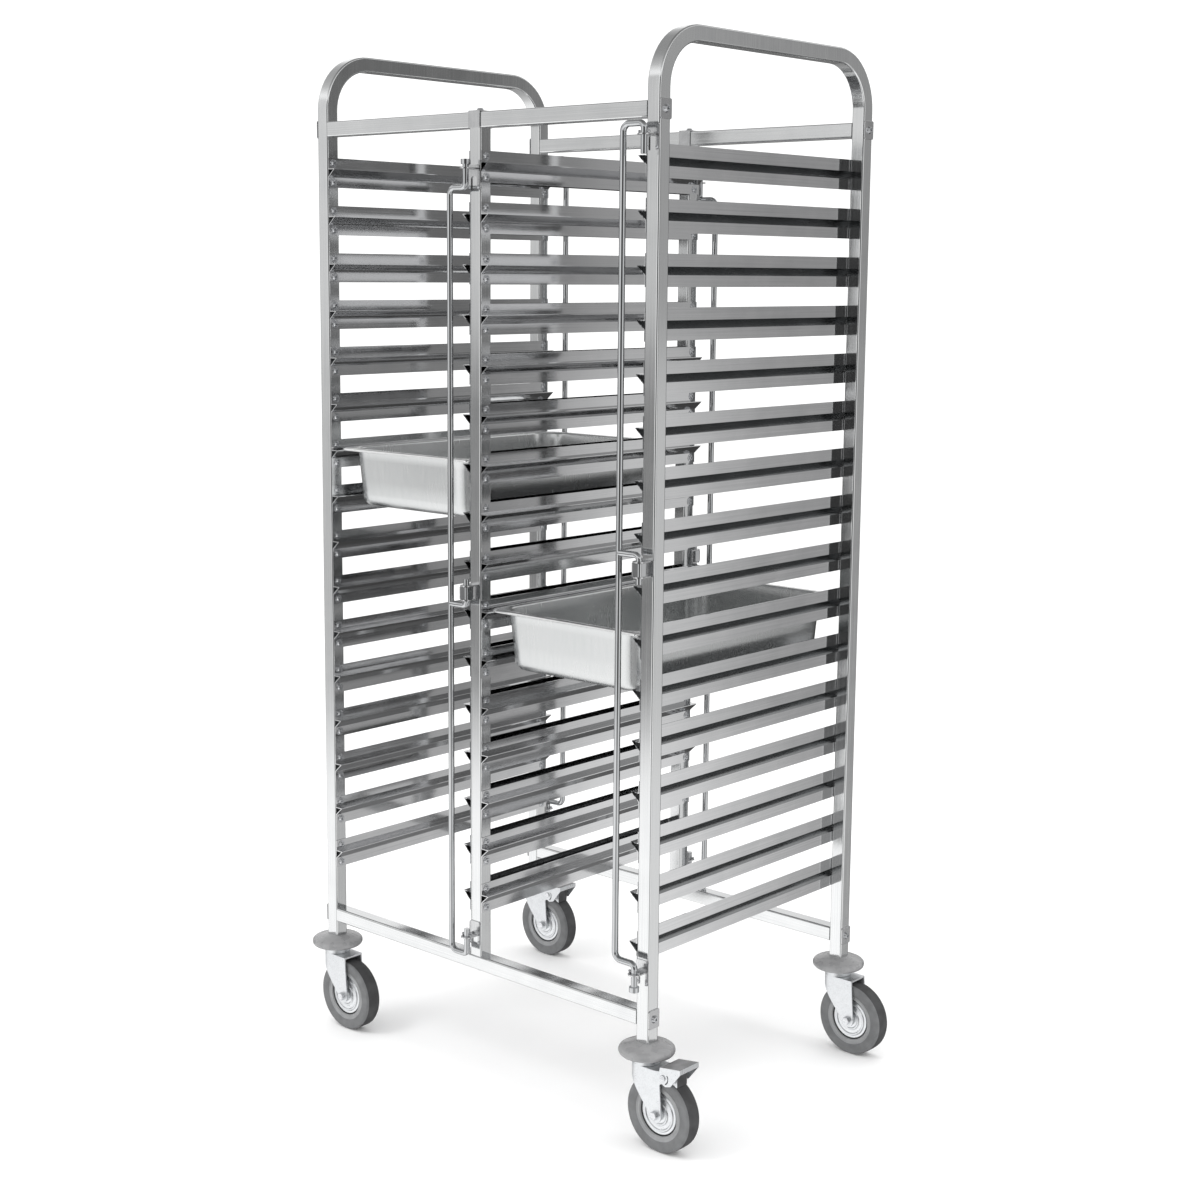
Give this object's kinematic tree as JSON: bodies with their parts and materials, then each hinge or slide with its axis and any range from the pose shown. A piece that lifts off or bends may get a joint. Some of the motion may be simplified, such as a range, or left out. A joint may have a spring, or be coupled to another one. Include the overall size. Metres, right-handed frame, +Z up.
{
  "type": "sheet pan rack",
  "caption": "Two-bay mobile pan rack: bent square-tube side frames, pressed runners on every post, swinging retaining bars and swivel castors, with two deep pans.",
  "frame": {"origin": "on the floor, under the middle of the outline seen from above; the frame's own middle is 26.25 mm to the left, because all four castors trail to the right", "axes": "+X to the right along the rack's width, -Y to the front, +Z up"},
  "size_m": [0.8773, 0.615, 1.72],
  "materials": {
    "tube_steel": "polished",
    "plate_steel": "polished",
    "fastener_steel": "bright",
    "plug_steel": "plain turned",
    "runner_steel": "bright rolled",
    "rod_steel": "mirror polished",
    "zinc_plate": "bright zinc plate",
    "bumper_rubber": "smooth satin grey",
    "tyre_rubber": "grey, matt tread",
    "pan_steel": "satin"
  },
  "bodies": {
    "frame": {"right_hoop": "tube_steel", "left_hoop": "tube_steel", "front_centre_post": "tube_steel", "rear_centre_post": "tube_steel", "front_top_rail": "tube_steel", "rear_top_rail": "tube_steel", "front_bottom_rail": "tube_steel", "rear_bottom_rail": "tube_steel", "corner_saddles": "plate_steel", "centre_saddles": "plate_steel", "frame_bolts": "fastener_steel", "tube_plugs": "plug_steel", "left_outer_runners": "runner_steel", "left_centre_runners": "runner_steel", "right_centre_runners": "runner_steel", "right_outer_runners": "runner_steel", "left_outer_screws": "fastener_steel", "left_centre_screws": "fastener_steel", "right_centre_screws": "fastener_steel", "right_outer_screws": "fastener_steel", "front_right_brackets": "plate_steel", "front_centre_brackets": "plate_steel", "rear_left_brackets": "plate_steel", "rear_centre_brackets": "plate_steel", "bracket_rivets": "fastener_steel", "castor_stems": "zinc_plate", "bumpers": "bumper_rubber", "swivel_races": "zinc_plate"},
    "front_right_guard": {"front_right_bar": "rod_steel", "front_right_bar_fittings": "rod_steel"},
    "front_centre_guard": {"front_centre_bar": "rod_steel", "front_centre_bar_fittings": "rod_steel"},
    "rear_left_guard": {"rear_left_bar": "rod_steel", "rear_left_bar_fittings": "rod_steel"},
    "rear_centre_guard": {"rear_centre_bar": "rod_steel", "rear_centre_bar_fittings": "rod_steel"},
    "front_right_swivel": {"front_right_fork": "zinc_plate", "front_right_axle": "fastener_steel", "front_right_pedal_pin": "fastener_steel"},
    "front_right_wheel": {"front_right_hub": "zinc_plate", "front_right_tyre": "tyre_rubber"},
    "front_left_swivel": {"front_left_fork": "zinc_plate", "front_left_axle": "fastener_steel"},
    "front_left_wheel": {"front_left_hub": "zinc_plate", "front_left_tyre": "tyre_rubber"},
    "rear_right_swivel": {"rear_right_fork": "zinc_plate", "rear_right_axle": "fastener_steel"},
    "rear_right_wheel": {"rear_right_hub": "zinc_plate", "rear_right_tyre": "tyre_rubber"},
    "rear_left_swivel": {"rear_left_fork": "zinc_plate", "rear_left_axle": "fastener_steel", "rear_left_pedal_pin": "fastener_steel"},
    "rear_left_wheel": {"rear_left_hub": "zinc_plate", "rear_left_tyre": "tyre_rubber"},
    "front_right_brake": {"front_right_pedal": "zinc_plate"},
    "rear_left_brake": {"rear_left_pedal": "zinc_plate"},
    "left_pan_body": {"left_pan": "pan_steel"},
    "right_pan_body": {"right_pan": "pan_steel"}
  },
  "joints": [
    {"name": "front_right_guard_hinge", "type": "hinge", "parent": "frame", "child": "front_right_guard", "pos_m": [0.34125, -0.295, 0.9], "axis": [0, 0, 1], "range_deg": [0, 180]},
    {"name": "front_centre_guard_hinge", "type": "hinge", "parent": "frame", "child": "front_centre_guard", "pos_m": [-0.02625, -0.295, 0.9], "axis": [0, 0, 1], "range_deg": [0, 180]},
    {"name": "rear_left_guard_hinge", "type": "hinge", "parent": "frame", "child": "rear_left_guard", "pos_m": [-0.39375, 0.295, 0.9], "axis": [0, 0, 1], "range_deg": [0, 180]},
    {"name": "rear_centre_guard_hinge", "type": "hinge", "parent": "frame", "child": "rear_centre_guard", "pos_m": [-0.02625, 0.295, 0.9], "axis": [0, 0, 1], "range_deg": [0, 180]},
    {"name": "front_right_swivel_turn", "type": "hinge", "parent": "frame", "child": "front_right_swivel", "pos_m": [0.34125, -0.2625, 0.14], "axis": [0, 0, 1], "continuous": true},
    {"name": "front_right_wheel_spin", "type": "hinge", "parent": "front_right_swivel", "child": "front_right_wheel", "pos_m": [0.37625, -0.2625, 0.0625], "axis": [0, 1, 0], "continuous": true},
    {"name": "front_left_swivel_turn", "type": "hinge", "parent": "frame", "child": "front_left_swivel", "pos_m": [-0.39375, -0.2625, 0.14], "axis": [0, 0, 1], "continuous": true},
    {"name": "front_left_wheel_spin", "type": "hinge", "parent": "front_left_swivel", "child": "front_left_wheel", "pos_m": [-0.35875, -0.2625, 0.0625], "axis": [0, 1, 0], "continuous": true},
    {"name": "rear_right_swivel_turn", "type": "hinge", "parent": "frame", "child": "rear_right_swivel", "pos_m": [0.34125, 0.2625, 0.14], "axis": [0, 0, 1], "continuous": true},
    {"name": "rear_right_wheel_spin", "type": "hinge", "parent": "rear_right_swivel", "child": "rear_right_wheel", "pos_m": [0.37625, 0.2625, 0.0625], "axis": [0, 1, 0], "continuous": true},
    {"name": "rear_left_swivel_turn", "type": "hinge", "parent": "frame", "child": "rear_left_swivel", "pos_m": [-0.39375, 0.2625, 0.14], "axis": [0, 0, 1], "continuous": true},
    {"name": "rear_left_wheel_spin", "type": "hinge", "parent": "rear_left_swivel", "child": "rear_left_wheel", "pos_m": [-0.35875, 0.2625, 0.0625], "axis": [0, 1, 0], "continuous": true},
    {"name": "front_right_brake_lift", "type": "hinge", "parent": "front_right_swivel", "child": "front_right_brake", "pos_m": [0.39325, -0.2625, 0.129], "axis": [0, -1, 0], "range_deg": [0, 20]},
    {"name": "rear_left_brake_lift", "type": "hinge", "parent": "rear_left_swivel", "child": "rear_left_brake", "pos_m": [-0.34175, 0.2625, 0.129], "axis": [0, -1, 0], "range_deg": [0, 20]},
    {"name": "left_pan_slide", "type": "slide", "parent": "frame", "child": "left_pan_body", "axis": [0, 1, 0], "range_m": [-0.02, 0.02]},
    {"name": "right_pan_slide", "type": "slide", "parent": "frame", "child": "right_pan_body", "axis": [0, 1, 0], "range_m": [-0.02, 0.02]}
  ]
}
